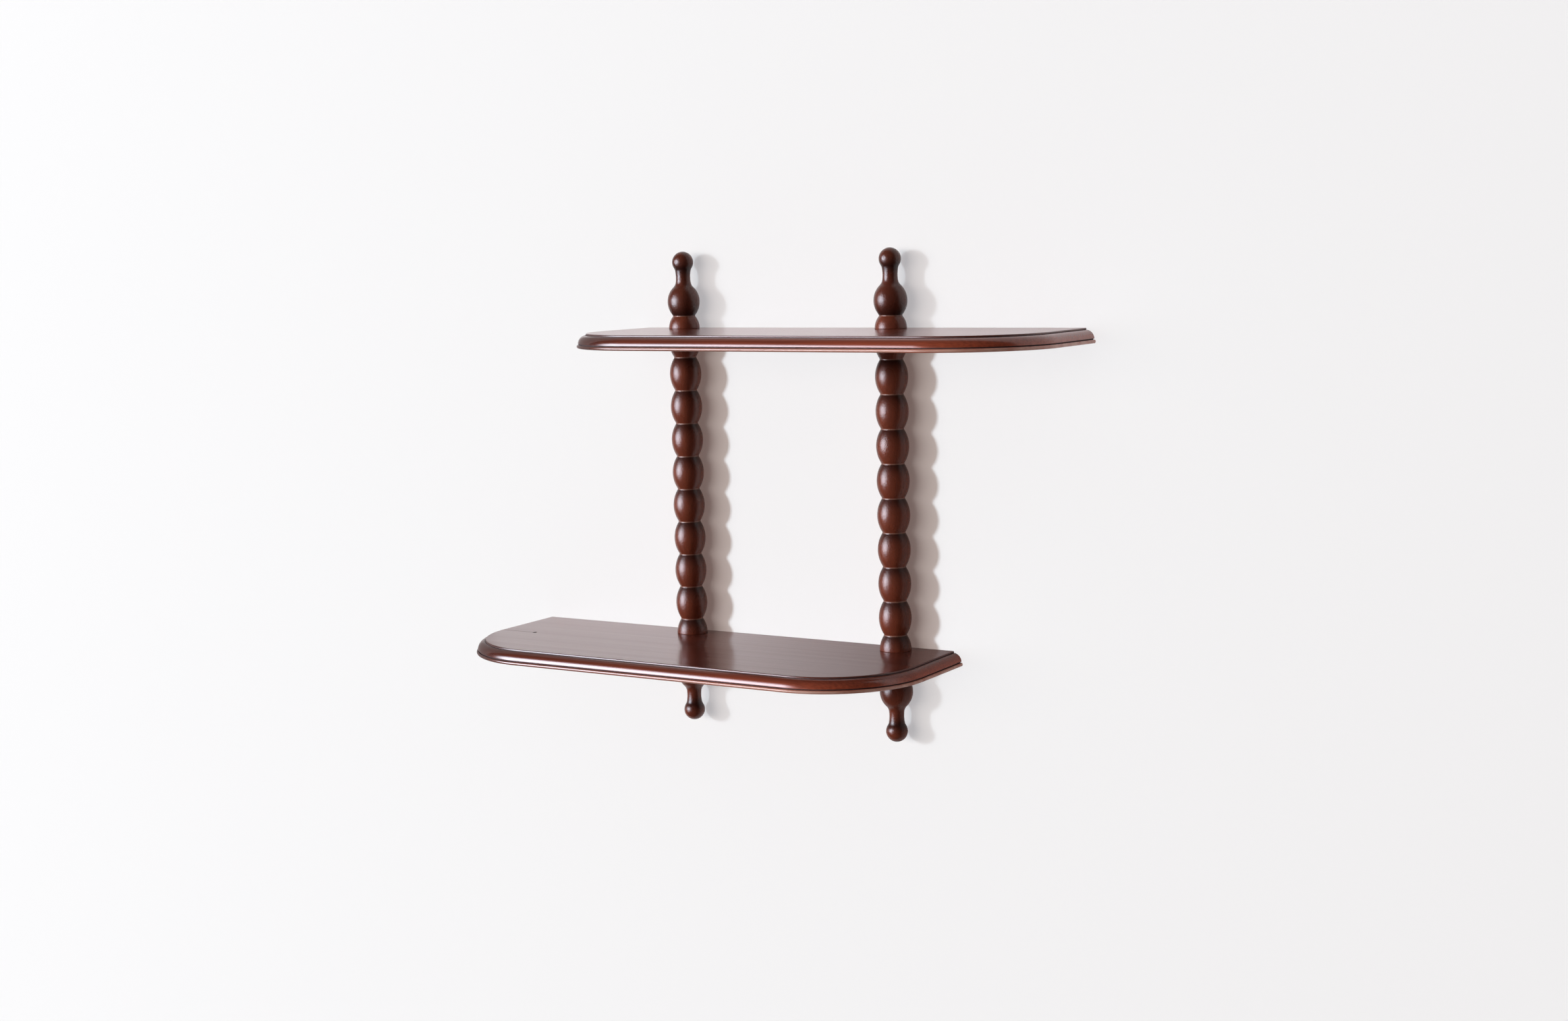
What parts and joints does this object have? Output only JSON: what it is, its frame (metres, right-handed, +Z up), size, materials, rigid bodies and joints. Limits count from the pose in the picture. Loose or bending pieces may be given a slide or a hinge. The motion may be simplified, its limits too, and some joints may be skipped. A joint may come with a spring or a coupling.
{
  "type": "wall shelf",
  "caption": "Staggered wall shelf: an upper and a lower moulded board with rounded front corners on turned bobbin posts with ball finials, hung by keyhole plates.",
  "frame": {"origin": "on the wall face, midway between the round entries of the two keyhole hangers in the upper board's back edge", "axes": "+X along the wall to the right as seen from the room, +Y into the wall, +Z up"},
  "size_m": [0.766, 0.216, 0.574],
  "materials": {
    "mahogany": "dark red-brown stain under satin lacquer",
    "zinc_steel": "bright zinc plate",
    "brass": "turned"
  },
  "bodies": {
    "root": {"top_shelf": "mahogany", "bottom_shelf": "mahogany", "left_post": "mahogany", "right_post": "mahogany", "left_top_finial": "mahogany", "right_top_finial": "mahogany", "left_bottom_finial": "mahogany", "right_bottom_finial": "mahogany", "joining_studs": "zinc_steel", "finial_inserts": "brass", "left_hanger_plate": "zinc_steel", "right_hanger_plate": "zinc_steel", "hanger_screws": "zinc_steel"}
  },
  "joints": []
}
